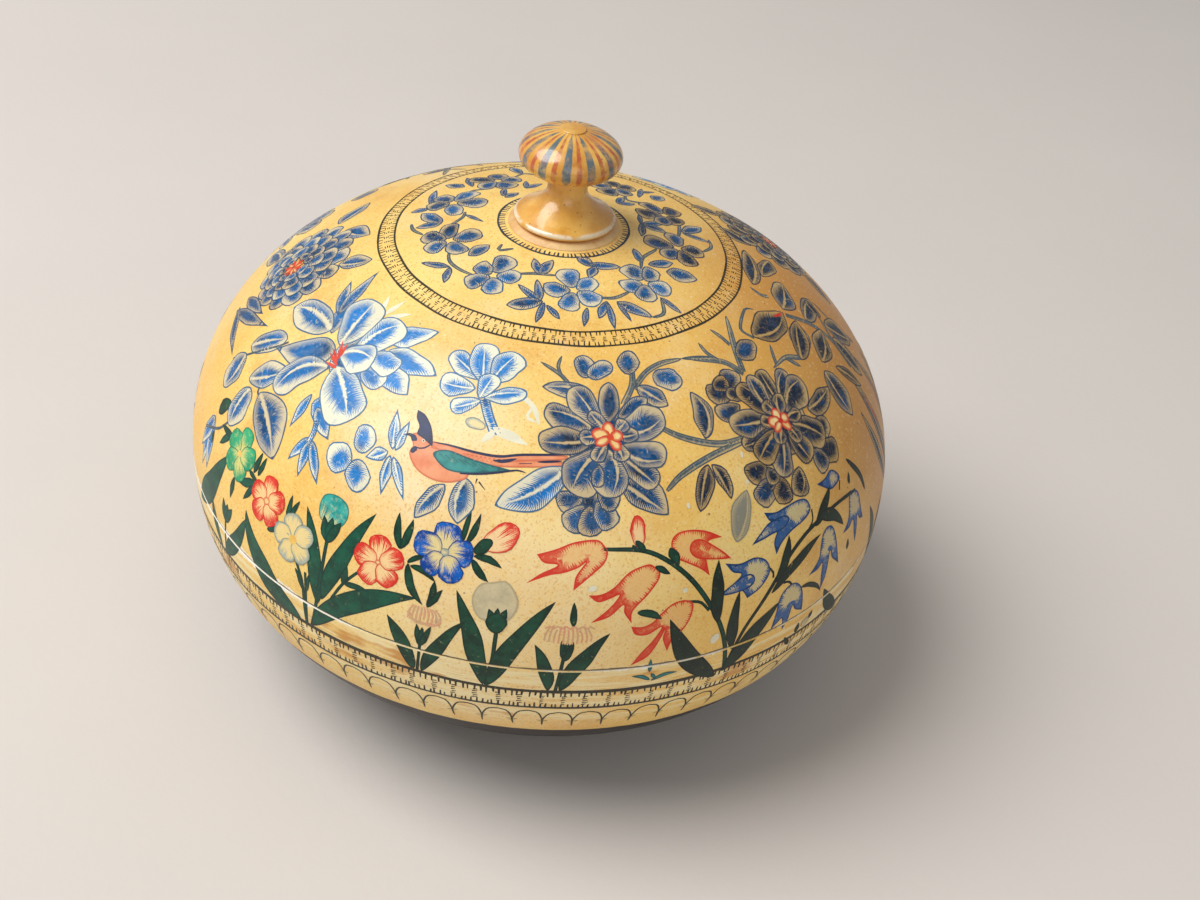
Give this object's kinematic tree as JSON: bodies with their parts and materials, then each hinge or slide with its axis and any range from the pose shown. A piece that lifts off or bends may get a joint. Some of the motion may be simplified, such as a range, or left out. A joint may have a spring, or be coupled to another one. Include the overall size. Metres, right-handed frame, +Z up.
{
  "type": "lidded box",
  "caption": "Round domed papier mache box with a lift-off lid, an inner locating collar and a turned wooden knob.",
  "frame": {"origin": "centre of the foot that the bowl stands on, at the table", "axes": "+Z up along the box's axis of symmetry; +X to the right and -Y towards the viewer of the picture"},
  "size_m": [0.15, 0.15, 0.1189],
  "materials": {
    "bowl": "gloss",
    "collar": "satin",
    "lid": "gloss",
    "seat": "satin",
    "knob": "gloss",
    "washer": "matte"
  },
  "bodies": {
    "bowl": {"bowl_shell": "bowl", "bowl_collar": "collar"},
    "lid": {"lid_shell": "lid", "knob_seat": "seat", "knob_turning": "knob", "knob_washer": "washer"}
  },
  "joints": [
    {"name": "lid_lift", "type": "slide", "parent": "bowl", "child": "lid", "axis": [0, 0, 1], "range_m": [0, 0.12]}
  ]
}
